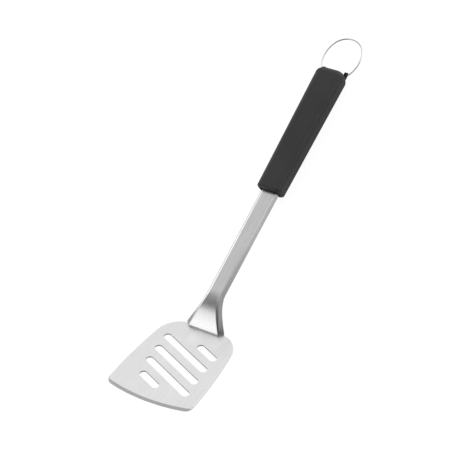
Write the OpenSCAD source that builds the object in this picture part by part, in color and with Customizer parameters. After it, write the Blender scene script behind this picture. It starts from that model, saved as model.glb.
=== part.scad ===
// Barbecue spatula: slotted and bevelled steel blade, stamped neck and shank, soft grip, wire hanging loop.
// It lies as it does on a table, on the heel of its blade and the butt of its grip. The blade points to -Y.
// Three frames are used. blade frame: y back from the front edge, z up from the top face of the blade.
// grip frame: y along the stem from the front face of the grip, z up from the top of the shank.
// part frame: the part lying down, with its origin under the middle of its box.

/* [Blade] */
// Width of the blade where its bowed sides are widest
blade_w = 92.6; // [75:0.2:115]
// Length of the blade along its middle
blade_len = 112.6; // [98:0.2:140]
// Thickness of the blade sheet
blade_t = 1.5; // [1.2:0.1:2.5]
// Radius of the curved front edge
front_r = 169.7; // [120:0.1:300]
// Length of the bevel ground along the front edge
bevel_len = 3; // [1.5:0.1:6]
// Thickness that the bevel leaves at the front edge
edge_t = 0.5; // [0.3:0.05:1]
// Radius of the two front corners
corner_r = 8; // [2:0.5:12]
// Radius of the bowed sides
side_r = 500; // [300:10:900]
// Where the blade is widest, behind its front edge
widest_at = 20; // [10:1:40]
// Radius of the rear shoulders
shoulder_r = 26; // [15:0.5:34]

/* [Slots] */
// Width of a slot
slot_w = 7.8; // [5:0.1:10]
// Length of the three long slots
slot_long = 68; // [45:1:72]
// Length of the two short slots
slot_short = 27.8; // [15:0.2:34]
// Distance between the middles of neighbouring slots, square to the slots
slot_pitch = 15.9; // [13:0.1:17]
// Slant of the slots across the blade
slot_angle = 24.3; // [10:0.1:30]
// Middle of the middle slot, behind the front edge
slot_field_y = 55.1; // [50:0.1:62]
// Middle of the middle slot, to the right of the middle of the blade
slot_field_x = 1.6; // [0:0.1:4]
// Slide of each long slot against the one behind it, along the slot
slot_slide = 1.2; // [0:0.1:3]
// Distance that the front short slot is set to the left, along the slot
front_slot_set = 12.9; // [5:0.1:16]
// Distance that the rear short slot is set to the right, along the slot
rear_slot_set = 19.3; // [10:0.1:20]

/* [Neck] */
// Length of blade that lies behind the front edge of the foot
foot_lap = 5; // [3:0.2:12]
// Width of the foot at its front edge
foot_front_w = 33; // [26:0.2:44]
// Width of the foot at its rear, where its walls end
foot_rear_w = 43; // [34:0.2:52]
// Rounding of the foot's two front corners
foot_corner_r = 3; // [1:0.1:6]
// Height of the upright lip that is welded to the blade
lip_h = 2.1; // [1.5:0.1:4]
// Slope of the neck above the lip, from the blade, halfway along it
neck_angle = 60; // [45:1:70]
// Length of the slope of the neck
slope_len = 17.6; // [8:0.1:24]
// Angle that the slope turns through along its length
slope_bow = 10; // [2:1:20]
// Radius of the bend from the neck to the shank, at its top
neck_r = 45; // [30:1:80]
// Length over which the foot narrows into the shank
flare_len = 40; // [30:1:60]

/* [Shank] */
// Angle between the blade and the stem
stem_angle = 24.2; // [15:0.1:35]
// Length of the straight shank, from the neck to the grip
shank_len = 116.1; // [80:0.1:200]
// Width of the shank at the neck
neck_w = 17.8; // [14:0.1:22]
// Width of the shank at the grip
shank_w = 18.6; // [15:0.1:22]
// Depth of the shank's channel
channel_h = 7; // [5:0.1:9]
// Lean of each wall, from its top to its rim
wall_lean = 0.8; // [0:0.1:2]
// Thickness of the shank's sheet
sheet_t = 1.6; // [1.2:0.1:2.2]
// Rounding of the shank's top edges
shank_edge_r = 4.2; // [2:0.1:6]
// Length of shank that reaches into the grip at full width
shank_seat = 14; // [8:0.5:24]

/* [Tang] */
// Width of the tang inside the grip
tang_w = 12; // [8:0.5:14]
// Length of the tang from the front face of the grip
tang_len = 118; // [90:1:128]
// Diameter of the two pins that hold the tang
pin_d = 3; // [2:0.5:4]
// Place of the front pin, behind the front face of the grip
front_pin_at = 32; // [26:1:50]
// Place of the rear pin, behind the front face of the grip
rear_pin_at = 100; // [60:1:110]

/* [Grip] */
// Length of the grip
grip_len = 152.5; // [130:0.2:180]
// Width of the grip at its front
grip_front_w = 26.6; // [25:0.2:36]
// Width of the grip at its butt
grip_butt_w = 31.4; // [29:0.2:42]
// Thickness of the grip
grip_t = 20.6; // [19:0.2:28]
// Height of the grip's top face above the shank
grip_rise = 6.4; // [4.5:0.1:9]
// Rounding along the grip
grip_edge_r = 5.6; // [3:0.1:8]
// Rounding round the front face
front_edge_r = 2.6; // [1:0.1:4]
// Lean of the front face: how far its bottom lies behind its top
front_lean = 3.2; // [0:0.1:5]
// Rounding of the butt's corners, seen from above
butt_corner_r = 9; // [6:0.5:13]
// Rounding of the butt, seen from the side
butt_round_r = 8.6; // [4:0.1:9]
// Thickness of the soft skin over the core
skin_t = 2.4; // [1.8:0.1:3.4]
// Depth of the mouth that the shank enters, behind the bottom of the front face
mouth_depth = 2.4; // [1:0.2:6]
// Rounding of the mouth's two upper corners
mouth_corner_r = 1.6; // [1:0.1:5]

/* [Hanging loop] */
// Thickness of the wire
wire_d = 1.5; // [1.2:0.1:2.4]
// Width of the loop between the middles of its sides
loop_w = 39.5; // [36:0.1:46]
// Reach of the loop's crown from the line it swings on
loop_reach = 41.2; // [36:0.1:56]
// Radius of the loop's sides
loop_side_r = 33; // [28:0.5:40]
// Radius of the bend beside an ear
loop_bend_r = 1.5; // [1.2:0.1:3]
// Length of wire end that turns inside an ear
wire_tail = 2.4; // [1.5:0.1:4]
// Distance of the swing line beyond the end of the butt
swing_out = 1.5; // [0:0.1:3]
// Distance of the swing line below the middle of the grip
swing_drop = 2.1; // [0:0.1:3]
// Thickness of an ear round the wire
ear_d = 4; // [3.4:0.1:6]
// Width of an ear
ear_w = 3.2; // [2.8:0.1:8]
// Distance between the outer faces of the ears
ear_span = 28.6; // [25:0.1:29]

/* [Fits] */
// Room between the wire and its ear, all round
swing_fit = 0.06; // [0.03:0.01:0.1]
// Room between an ear's face and the bend of the wire, and past the wire's end
side_play = 0.3; // [0.2:0.05:0.5]
// Room round a pin in its hole
pin_fit = 0.02; // [0.01:0.01:0.1]
// Room round the shank and tang in the core, and round an ear in the skin
seat_gap = 0.3; // [0.2:0.05:0.5]
// Room round the shank in the mouth of the grip
mouth_gap = 1.2; // [0.6:0.1:2]

/* [Hidden] */
$fn = 64;
// Overrun of a cut past the face that it leaves by
over = 1;
// Segments of one rounding in an outline, and in the end of the grip
round_steps = 10;

steel = [0.78, 0.78, 0.79];
soft_black = [0.24, 0.24, 0.25];
hard_black = [0.1, 0.1, 0.1];

function rot2(v, a) = [v[0] * cos(a) - v[1] * sin(a), v[0] * sin(a) + v[1] * cos(a)];
function angle_of(v) = atan2(v[1], v[0]);
function unit(v) = v / norm(v);
function arc(c, r, from, to, steps) =
    [for (i = [0:steps]) c + rot2([r, 0], from + (to - from) * i / steps)];
function mirrored(points) = [for (i = [len(points) - 1:-1:0]) [-points[i][0], points[i][1]]];
function reversed(points) = [for (i = [len(points) - 1:-1:0]) points[i]];
// The point at r0 from p0 and r1 from p1 that lies to the right of the way from p1 to p0
function meet(p0, r0, p1, r1) =
    let (d = norm(p1 - p0), along = (r0 * r0 - r1 * r1 + d * d) / (d + d), off = sqrt(r0 * r0 - along * along))
    p0 + along * unit(p1 - p0) + off * rot2(unit(p1 - p0), 90);
// How far a rounding of radius r has fallen away at a distance from its end
function rounding(r, distance) = distance < r ? r - sqrt(r * r - pow(r - distance, 2)) : 0;

// Blade outline: the right half is the front arc, corner, side and shoulder, each tangent to the next
front_c = [0, front_r];
side_c = [blade_w / 2 - side_r, widest_at];
corner_c = meet(front_c, front_r - corner_r, side_c, side_r - corner_r);
shoulder_c = [side_c[0] + sqrt(pow(side_r - shoulder_r, 2) - pow(blade_len - shoulder_r - widest_at, 2)),
              blade_len - shoulder_r];
half_outline = concat(
    arc(front_c, front_r, -90, angle_of(corner_c - front_c), 2 * round_steps),
    arc(corner_c, corner_r, angle_of(corner_c - front_c), angle_of(corner_c - side_c), round_steps),
    arc(side_c, side_r, angle_of(corner_c - side_c), angle_of(shoulder_c - side_c), 2 * round_steps),
    arc(shoulder_c, shoulder_r, angle_of(shoulder_c - side_c), 90, 2 * round_steps));
blade_outline = concat([for (i = [1:len(half_outline) - 1]) half_outline[i]],
                       [for (i = [len(half_outline) - 1:-1:0]) [-half_outline[i][0], half_outline[i][1]]]);

// Slots, front to rear: steps from the middle slot, length, and slide to the right along the slot
slot_step_y = slot_pitch / cos(slot_angle);
slot_rows = [[-2, slot_short, -front_slot_set], [-1, slot_long, slot_slide], [0, slot_long, 0],
             [1, slot_long, -slot_slide], [2, slot_short, rear_slot_set]];

// Top line of the neck and shank in the blade frame: lip, slope, bend and straight shank
lip_foot = [blade_len - foot_lap, 0];
lip_top = lip_foot + [0, lip_h];
slope_from = neck_angle + slope_bow / 2;
bend_from = neck_angle - slope_bow / 2;
slope_r = slope_len / slope_bow * 180 / PI;
slope_c = lip_top + rot2([slope_r, 0], slope_from - 90);
bend_c = slope_c + rot2([slope_r - neck_r, 0], bend_from + 90);
bend_end = bend_c + rot2([neck_r, 0], stem_angle + 90);
bend_len = neck_r * (bend_from - stem_angle) * PI / 180;
neck_len = lip_h + slope_len + bend_len;
grip_origin = bend_end + rot2([shank_len, 0], stem_angle);

// The stem leans back to the table by the lie angle: it is the lean of the line that touches the blade's
// heel and the rounded underside of the butt
heel = [blade_len, -blade_t];
grip_bottom = grip_rise - grip_t;
butt_c = grip_origin + rot2([grip_len - butt_round_r, grip_bottom + butt_round_r], stem_angle);
lie_angle = angle_of(butt_c - heel) - asin(butt_round_r / norm(butt_c - heel));

// The swing line of the loop in the grip frame, and the place of the part lying down
swing = [grip_len + swing_out, grip_rise - grip_t / 2 - swing_drop];
crown_top = grip_origin + rot2(swing + [loop_reach, 0], stem_angle);
y_low = rot2([0, -blade_t], -lie_angle)[0];
y_high = rot2(crown_top, -lie_angle)[0] + wire_d / 2;
part_shift = [0, -(y_low + y_high) / 2, -rot2(heel, -lie_angle)[1]];

module lying() {
    translate(part_shift) rotate([-lie_angle, 0, 0]) children();
}
module in_grip() {
    lying() translate([0, grip_origin[0], grip_origin[1]]) rotate([stem_angle, 0, 0]) children();
}

// Blade
module slot(length) {
    square([length - slot_w, slot_w], center = true);
    for (side = [-1, 1]) translate([side * (length - slot_w) / 2, 0]) circle(d = slot_w);
}
module slots() {
    for (row = slot_rows)
        translate([slot_field_x, slot_field_y + row[0] * slot_step_y]) rotate(-slot_angle)
            translate([row[2], 0]) slot(row[1]);
}
module front_bevel() {
    fall_share = (blade_t - edge_t) / bevel_len;
    translate([0, front_r, -blade_t]) rotate_extrude()
        polygon([[front_r - bevel_len, blade_t], [front_r + over, edge_t - fall_share * over],
                 [front_r + over, blade_t + over], [front_r - bevel_len, blade_t + over]]);
}
module blade() {
    color(steel) lying() difference() {
        translate([0, 0, -blade_t]) linear_extrude(blade_t) difference() {
            polygon(blade_outline);
            slots();
        }
        front_bevel();
    }
}

// Shank: one stamped channel, from its seat on the blade to its end in the grip
// Place on the top line at a distance u from the seat
function stem_at(u) =
    u < lip_h ? lip_foot + [0, u]
    : u < lip_h + slope_len ? slope_c + rot2([slope_r, 0], slope_from + 90 - (u - lip_h) / slope_r * 180 / PI)
    : u < neck_len ? bend_c + rot2([neck_r, 0], bend_from + 90 - (u - lip_h - slope_len) / neck_r * 180 / PI)
    : bend_end + rot2([u - neck_len, 0], stem_angle);
// Share of the whole neck that is passed, and share of the foot's flare that is left
function passed(u) = min(1, max(0, u - lip_h) / (neck_len - lip_h));
flare_shape_share = 1.5;
function flare_left(u) = pow(1 - min(1, max(0, u - lip_h) / flare_len), flare_shape_share);
function shank_half(u) = (neck_w + (shank_w - neck_w) * max(0, u - neck_len) / shank_len) / 2;
function rim_half(u) = shank_half(u) + (foot_rear_w - neck_w) / 2 * flare_left(u);
function top_half(u) = rim_half(u) - wall_lean - ((foot_rear_w - foot_front_w) / 2 - wall_lean) * flare_left(u);
function wall_depth(u) = channel_h - (channel_h - foot_lap) * flare_left(u);
function edge_round(u) = shank_edge_r - (shank_edge_r - foot_corner_r) * flare_left(u);
// Rounding at the corner p between the ways to_a and to_b
function fillet(p, to_a, to_b, r) =
    let (half = acos(to_a * to_b) / 2, c = p + unit(to_a + to_b) * r / sin(half),
         a0 = angle_of(p + to_a * r / tan(half) - c), a1 = angle_of(p + to_b * r / tan(half) - c),
         turn = (a1 - a0 + 540) % 360 - 180)
    arc(c, r, a0, a0 + turn, round_steps);
function channel_section(u) =
    let (top = top_half(u), low = rim_half(u), depth = wall_depth(u), r = edge_round(u),
         wall = unit([low - top, -depth]), out = rot2(wall, 90), reach = out[0] * top - sheet_t,
         outer = concat([[low, -depth]], fillet([top, 0], wall, [-1, 0], r)),
         inner = concat([[(reach + depth * out[1]) / out[0], -depth]],
                        fillet([(reach + sheet_t * out[1]) / out[0], -sheet_t], wall, [-1, 0],
                               max(r - sheet_t, sheet_t / 4))))
    concat(outer, mirrored(outer), [for (p = inner) [-p[0], p[1]]], reversed(inner));
function channel_ring(u) =
    let (lean = 90 + (stem_angle - 90) * passed(u), up = rot2([1, 0], lean + 90), at = stem_at(u))
    [for (p = channel_section(u)) [p[0], at[0] + up[0] * p[1], at[1] + up[1] * p[1]]];
neck_steps = 20;
channel_stations = concat([0], [for (i = [0:neck_steps]) lip_h + (neck_len - lip_h) * i / neck_steps],
                          [neck_len + shank_len + shank_seat]);
// Skin of a loft through rings of the same even number of points, closed by strips at both ends
function loft_faces(rings, count) = concat(
    [for (k = [0:rings - 2], i = [0:count - 1])
        let (j = (i + 1) % count, a = k * count, b = a + count)
        each [[a + i, b + j, b + i], [a + i, a + j, b + j]]],
    [for (i = [0:count / 2 - 2]) [count - 1 - i, count - 2 - i, i + 1, i]],
    [for (i = [0:count / 2 - 2], a = [(rings - 1) * count])
        [a + i, a + i + 1, a + count - 2 - i, a + count - 1 - i]]);
module loft(rings) {
    polyhedron([for (ring = rings) each ring], loft_faces(len(rings), len(rings[0])), convexity = 6);
}
module shank() {
    color(steel) {
        lying() loft([for (u = channel_stations) channel_ring(u)]);
        in_grip() difference() {
            translate([-tang_w / 2, shank_seat - sheet_t, -sheet_t])
                cube([tang_w, tang_len - shank_seat + sheet_t, sheet_t]);
            pin_holes(-sheet_t);
        }
    }
}

// Pins and their holes
core_low = grip_bottom + skin_t;
core_h = grip_t - 2 * skin_t;
module pin(at) {
    color(steel) in_grip() translate([0, at, core_low + seat_gap]) cylinder(d = pin_d, h = core_h - 2 * seat_gap);
}
module pin_holes(from_z) {
    for (at = [front_pin_at, rear_pin_at])
        translate([0, at, from_z - over]) cylinder(d = pin_d + 2 * pin_fit, h = grip_t);
}
module front_pin() {
    pin(front_pin_at);
}
module rear_pin() {
    pin(rear_pin_at);
}

// Grip
function grip_half(s) = (grip_front_w + (grip_butt_w - grip_front_w) * s / grip_len) / 2;
core_front = front_lean + mouth_depth;
core_end = grip_len - butt_corner_r;
module core_block() {
    front_half = grip_half(core_front) - skin_t;
    end_half = grip_half(core_end) - skin_t;
    translate([0, 0, core_low]) linear_extrude(core_h)
        polygon([[-front_half, core_front], [front_half, core_front], [end_half, core_end],
                 [-end_half, core_end]]);
}
module ears(gap) {
    for (side = [-1, 1]) translate([side * (ear_span - ear_w) / 2, swing[0], swing[1]])
        rotate([90, 0, 90]) translate([0, 0, -ear_w / 2 - gap]) linear_extrude(ear_w + 2 * gap) {
            circle(d = ear_d + 2 * gap);
            translate([core_end - over - swing[0], -ear_d / 2 - gap])
                square([swing[0] - core_end + over, ear_d + 2 * gap]);
        }
}
module grip_core() {
    pocket_half = shank_w / 2 + seat_gap;
    color(hard_black) in_grip() difference() {
        union() {
            core_block();
            ears(0);
        }
        translate([-pocket_half, core_front - over, -channel_h - seat_gap])
            cube([2 * pocket_half, shank_seat + seat_gap - core_front + over, channel_h + 2 * seat_gap]);
        translate([-tang_w / 2 - seat_gap, core_front, -sheet_t])
            cube([tang_w + 2 * seat_gap, tang_len + seat_gap - core_front, sheet_t]);
        pin_holes(core_low);
        for (side = [-1, 1]) translate([side * (ear_span / 2 + over), swing[0], swing[1]])
            rotate([0, -side * 90, 0]) cylinder(d = wire_d + 2 * swing_fit, h = wire_tail + side_play + over);
    }
}
// A cross-section of the grip, smaller than the whole grip by the front and butt roundings. Those of the
// front lean back towards their bottom.
function grip_ring(s) =
    let (front = rounding(front_edge_r, s), d = grip_len - s, lean = s > front_edge_r ? 0 : front_lean / grip_t,
         half_w = grip_half(s) - front - rounding(butt_corner_r, d),
         half_h = grip_t / 2 - front - rounding(butt_round_r, d),
         r = min(grip_edge_r, half_h * 0.98, half_w * 0.98), mid = grip_bottom + grip_t / 2)
    [for (corner = [0:3]) let (cx = (corner == 0 || corner == 3) ? 1 : -1, cz = corner < 2 ? 1 : -1)
        for (p = arc([cx * (half_w - r), mid + cz * (half_h - r)], r, 90 * corner, 90 * corner + 90, round_steps))
            [p[0], s + lean * (grip_rise - p[1]), p[1]]];
grip_stations = concat(
    [for (i = [0:round_steps]) front_edge_r * (1 - cos(90 * i / round_steps))],
    [for (i = [0:2 * round_steps]) grip_len - butt_corner_r * (1 - sin(45 * i / round_steps))]);
module grip_body() {
    loft([for (s = grip_stations) grip_ring(s)]);
}
module mouth() {
    half = shank_w / 2 + mouth_gap;
    low = -channel_h - mouth_gap;
    top_c = [half - mouth_corner_r, mouth_gap - mouth_corner_r];
    low_c = [half - mouth_gap, low + mouth_gap];
    right = concat(arc(low_c, mouth_gap, -90, 0, round_steps), arc(top_c, mouth_corner_r, 0, 90, round_steps));
    translate([0, core_front + over, 0]) rotate([90, 0, 0])
        linear_extrude(core_front + 2 * over) polygon(concat(right, mirrored(right)));
}
module grip_skin() {
    color(soft_black) in_grip() difference() {
        grip_body();
        core_block();
        mouth();
        ears(seat_gap);
    }
}

// Hanging loop: its ends, the bends beside the ears, its sides and its crown, each tangent to the next
bend_x = ear_span / 2 + side_play;
turn_out = asin((bend_x + loop_side_r - loop_w / 2) / (loop_side_r - loop_bend_r));
loop_side_c = [loop_w / 2 - loop_side_r, loop_bend_r + (loop_side_r - loop_bend_r) * cos(turn_out)];
reach_left = loop_side_r - loop_reach;
crown_y = (loop_side_c * loop_side_c - reach_left * reach_left) / (2 * (reach_left + loop_side_c[1]));
crown_from = angle_of([0, crown_y] - loop_side_c);
wire_sides = 16;
// Points of the wire's middle line with the way it runs there, for an arc
function wire_arc(c, r, from, to, steps) =
    [for (i = [0:steps]) let (a = from + (to - from) * i / steps) [c + rot2([r, 0], a), a + 90]];
wire_half = concat(
    [[[ear_span / 2 - wire_tail, 0], 0]],
    wire_arc([bend_x, loop_bend_r], loop_bend_r, -90, turn_out - 90, round_steps),
    [for (i = [1:round_steps]) wire_arc(loop_side_c, loop_side_r, turn_out - 90, crown_from, round_steps)[i]],
    [for (i = [1:round_steps]) wire_arc([0, crown_y], loop_reach - crown_y, crown_from, 90, round_steps)[i]]);
wire_line = concat(wire_half, [for (i = [len(wire_half) - 2:-1:0])
    [[-wire_half[i][0][0], wire_half[i][0][1]], -wire_half[i][1]]]);
module hanging_loop() {
    color(steel) in_grip() translate([0, swing[0], swing[1]])
        loft([for (at = wire_line) [for (k = [0:wire_sides - 1])
            let (around = 360 * k / wire_sides, side = rot2([0, -wire_d / 2 * cos(around)], at[1]))
            [at[0][0] + side[0], at[0][1] + side[1], wire_d / 2 * sin(around)]]]);
}

blade();
shank();
grip_core();
grip_skin();
front_pin();
rear_pin();
hanging_loop();
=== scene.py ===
"""Looks of a barbecue spatula: slotted steel blade, stamped shank, soft grip and wire hanging loop.

Sizes are in millimetres in two frames of the part. The blade frame has y back from the front edge and
z up from the blade's top face. The grip frame has y along the stem from the grip's front face and z up
from the top of the shank. A finished mesh is placed in the row frame, in metres, with the spatula lying
on the heel of its blade and the butt of its grip.
"""

import logging
import math
from dataclasses import dataclass, field
from enum import Enum
from typing import Iterable, Optional, Sequence

import bmesh
import bpy
from mathutils import Matrix, Vector

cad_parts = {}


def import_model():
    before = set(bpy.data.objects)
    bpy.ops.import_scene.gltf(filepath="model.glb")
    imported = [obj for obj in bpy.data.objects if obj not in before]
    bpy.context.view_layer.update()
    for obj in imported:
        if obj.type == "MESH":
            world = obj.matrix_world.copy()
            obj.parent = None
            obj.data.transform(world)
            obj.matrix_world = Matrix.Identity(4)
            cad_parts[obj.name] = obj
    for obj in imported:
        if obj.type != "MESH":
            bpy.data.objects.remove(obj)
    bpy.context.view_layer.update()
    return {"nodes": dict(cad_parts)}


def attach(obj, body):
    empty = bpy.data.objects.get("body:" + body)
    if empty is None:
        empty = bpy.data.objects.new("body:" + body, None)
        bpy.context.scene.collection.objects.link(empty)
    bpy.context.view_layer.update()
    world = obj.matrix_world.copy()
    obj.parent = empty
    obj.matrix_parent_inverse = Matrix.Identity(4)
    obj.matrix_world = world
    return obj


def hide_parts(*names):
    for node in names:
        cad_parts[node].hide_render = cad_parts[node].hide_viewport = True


LOG = logging.getLogger("spatula")
# A millimetre in metres, and the gap in millimetres that closes when a mesh is finished.
MM = 0.001
MERGE_MM = 1e-4


class Body(Enum):
    """The two bodies that move against each other."""

    SPATULA = "spatula"
    LOOP = "loop"


class Grain(Enum):
    """How the fine texture of a metal face runs."""

    BLASTED = "blasted"
    ALONG = "along"


def turn(x: float, y: float, degrees: float) -> Vector:
    """Turns a point of the plane about zero, anticlockwise."""
    a = math.radians(degrees)
    return Vector((x * math.cos(a) - y * math.sin(a), x * math.sin(a) + y * math.cos(a)))


def heading(v: Vector) -> float:
    """Angle of a vector of the plane, in degrees."""
    return math.degrees(math.atan2(v.y, v.x))


def meet(p0: Vector, r0: float, p1: Vector, r1: float) -> Vector:
    """Point at r0 from p0 and r1 from p1.

    Args:
        p0: Middle of the first circle.
        r0: Radius of the first circle.
        p1: Middle of the second circle.
        r1: Radius of the second circle.

    Returns:
        The one of the two points that lies to the left of the way from p0 to p1.
    """
    way = p1 - p0
    along = (r0 * r0 - r1 * r1 + way.length_squared) / (2 * way.length)
    off = math.sqrt(max(r0 * r0 - along * along, 0.0))
    unit = way.normalized()
    return p0 + unit * along + Vector((-unit.y, unit.x)) * off


def rounding(radius: float, distance: float) -> float:
    """How far a rounding has fallen away.

    Args:
        radius: Radius of the rounding.
        distance: Distance from the end that it rounds.

    Returns:
        The fall there, which is 0 past the radius.
    """
    if distance >= radius:
        return 0.0
    return radius - math.sqrt(max(radius * radius - (radius - distance) ** 2, 0.0))


def rounded(corners: Sequence[tuple[float, float, float]], steps: int) -> list[Vector]:
    """Closed outline with each of its corners rounded.

    Args:
        corners: x, y and radius of each corner, anticlockwise.
        steps: Segments of one rounding.

    Returns:
        The same number of points for each corner.
    """
    points: list[Vector] = []
    count = len(corners)
    for i, (x, y, radius) in enumerate(corners):
        p = Vector((x, y))
        before = (Vector(corners[i - 1][:2]) - p).normalized()
        after = (Vector(corners[(i + 1) % count][:2]) - p).normalized()
        half = before.angle(after) / 2
        radius = max(radius, MERGE_MM)
        middle = p + (before + after).normalized() * (radius / math.sin(half))
        start = heading(p + before * (radius / math.tan(half)) - middle)
        end = heading(p + after * (radius / math.tan(half)) - middle)
        sweep = (end - start + 540) % 360 - 180
        points += [middle + turn(radius, 0, start + sweep * k / steps) for k in range(steps + 1)]
    return points


def only(geom: Iterable[object], kind: type) -> list:
    """The elements of one kind."""
    return [g for g in geom if isinstance(g, kind)]


def add_object(name: str, data: bpy.types.ID) -> bpy.types.Object:
    """Puts a new object into the scene.

    Args:
        name: Name of the object.
        data: Its mesh, camera or lamp.

    Returns:
        The object.
    """
    made = bpy.data.objects.new(name, data)
    bpy.context.scene.collection.objects.link(made)
    return made


@dataclass(frozen=True)
class PartFrames:
    """Sizes that place the stem on the blade, and the whole part on its table."""

    blade_len: float = 112.6
    blade_t: float = 1.5
    foot_lap: float = 5.0
    lip_h: float = 2.1
    neck_angle: float = 60.0
    slope_len: float = 17.6
    slope_bow: float = 10.0
    neck_r: float = 45.0
    stem_angle: float = 24.2
    shank_len: float = 116.1
    shank_w: float = 18.6
    shank_h: float = 7.0
    grip_len: float = 152.5
    grip_t: float = 20.6
    grip_rise: float = 6.4
    butt_round_r: float = 8.6
    ear_span: float = 28.6
    swing_out: float = 1.5
    swing_drop: float = 2.1
    loop_reach: float = 41.2
    wire_d: float = 1.5

    @property
    def lip_top(self) -> Vector:
        """Top of the lip, in the blade frame."""
        return Vector((self.blade_len - self.foot_lap, self.lip_h))

    @property
    def slope_from(self) -> float:
        """Slope of the neck above the lip, in degrees from the blade."""
        return self.neck_angle + self.slope_bow / 2

    @property
    def bend_from(self) -> float:
        """Slope of the neck where its bend starts, in degrees from the blade."""
        return self.neck_angle - self.slope_bow / 2

    @property
    def slope_r(self) -> float:
        """Radius of the neck's shallow slope."""
        return self.slope_len / math.radians(self.slope_bow)

    @property
    def slope_middle(self) -> Vector:
        """Middle of the slope's arc, in the blade frame."""
        return self.lip_top + turn(self.slope_r, 0, self.slope_from - 90)

    @property
    def bend_middle(self) -> Vector:
        """Middle of the neck's bend, in the blade frame."""
        return self.slope_middle + turn(self.slope_r - self.neck_r, 0, self.bend_from + 90)

    @property
    def bend_len(self) -> float:
        """Length of the bend along its top."""
        return self.neck_r * math.radians(self.bend_from - self.stem_angle)

    @property
    def neck_len(self) -> float:
        """Length of the top line from the blade to the straight shank."""
        return self.lip_h + self.slope_len + self.bend_len

    @property
    def grip_origin(self) -> Vector:
        """Origin of the grip frame, in the blade frame."""
        end = self.bend_middle + turn(self.neck_r, 0, self.stem_angle + 90)
        return end + turn(self.shank_len, 0, self.stem_angle)

    @property
    def lie_angle(self) -> float:
        """Angle between the blade and the table, in degrees."""
        heel = Vector((self.blade_len, -self.blade_t))
        low = self.grip_rise - self.grip_t + self.butt_round_r
        way = self.grip_origin + turn(self.grip_len - self.butt_round_r, low, self.stem_angle) - heel
        return heading(way) - math.degrees(math.asin(self.butt_round_r / way.length))

    @property
    def swing(self) -> Vector:
        """Line that the loop swings on, in the grip frame: along the stem and up."""
        return Vector((self.grip_len + self.swing_out, self.grip_rise - self.grip_t / 2 - self.swing_drop))

    def blade_to_row(self) -> Matrix:
        """Places the blade frame in the row frame.

        Returns:
            The placement, from millimetres to metres.
        """
        crown = self.grip_origin + turn(self.swing.x + self.loop_reach, self.swing.y, self.stem_angle)
        high = turn(crown.x, crown.y, -self.lie_angle).x + self.wire_d / 2
        low = turn(0, -self.blade_t, -self.lie_angle).x
        drop = turn(self.blade_len, -self.blade_t, -self.lie_angle).y
        place = Matrix.Translation((0, -(low + high) / 2, -drop)) @ Matrix.Rotation(
            -math.radians(self.lie_angle), 4, "X")
        return Matrix.Scale(MM, 4) @ place

    def grip_to_row(self) -> Matrix:
        """Places the grip frame in the row frame, from millimetres to metres."""
        origin = self.grip_origin
        return self.blade_to_row() @ Matrix.Translation((0, origin.x, origin.y)) @ Matrix.Rotation(
            math.radians(self.stem_angle), 4, "X")

    def top_line(self, u: float) -> Vector:
        """Point of the stem's top line, in the blade frame.

        Args:
            u: Distance from the blade along the line.

        Returns:
            How far back and how high the point lies.
        """
        if u < self.lip_h:
            return Vector((self.blade_len - self.foot_lap, u))
        if u < self.lip_h + self.slope_len:
            turned = math.degrees((u - self.lip_h) / self.slope_r)
            return self.slope_middle + turn(self.slope_r, 0, self.slope_from + 90 - turned)
        if u < self.neck_len:
            turned = math.degrees((u - self.lip_h - self.slope_len) / self.neck_r)
            return self.bend_middle + turn(self.neck_r, 0, self.bend_from + 90 - turned)
        end = self.bend_middle + turn(self.neck_r, 0, self.stem_angle + 90)
        return end + turn(u - self.neck_len, 0, self.stem_angle)


class Wire:
    """One socket of a shader, or a plain number, with Python's operators."""

    def __init__(self, kit: "ShaderKit", value: object) -> None:
        self.kit = kit
        self.value = value

    def _join(self, operation: str, first: object, second: object) -> "Wire":
        """Adds a Math node on two values."""
        return self.kit.math(operation, first, second)

    def __add__(self, other: object) -> "Wire":
        """Sum."""
        return self._join("ADD", self, other)

    def __radd__(self, other: object) -> "Wire":
        """Sum with a number on the left."""
        return self._join("ADD", other, self)

    def __sub__(self, other: object) -> "Wire":
        """Difference."""
        return self._join("SUBTRACT", self, other)

    def __rsub__(self, other: object) -> "Wire":
        """Difference from a number on the left."""
        return self._join("SUBTRACT", other, self)

    def __mul__(self, other: object) -> "Wire":
        """Product."""
        return self._join("MULTIPLY", self, other)

    def __rmul__(self, other: object) -> "Wire":
        """Product with a number on the left."""
        return self._join("MULTIPLY", other, self)


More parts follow.
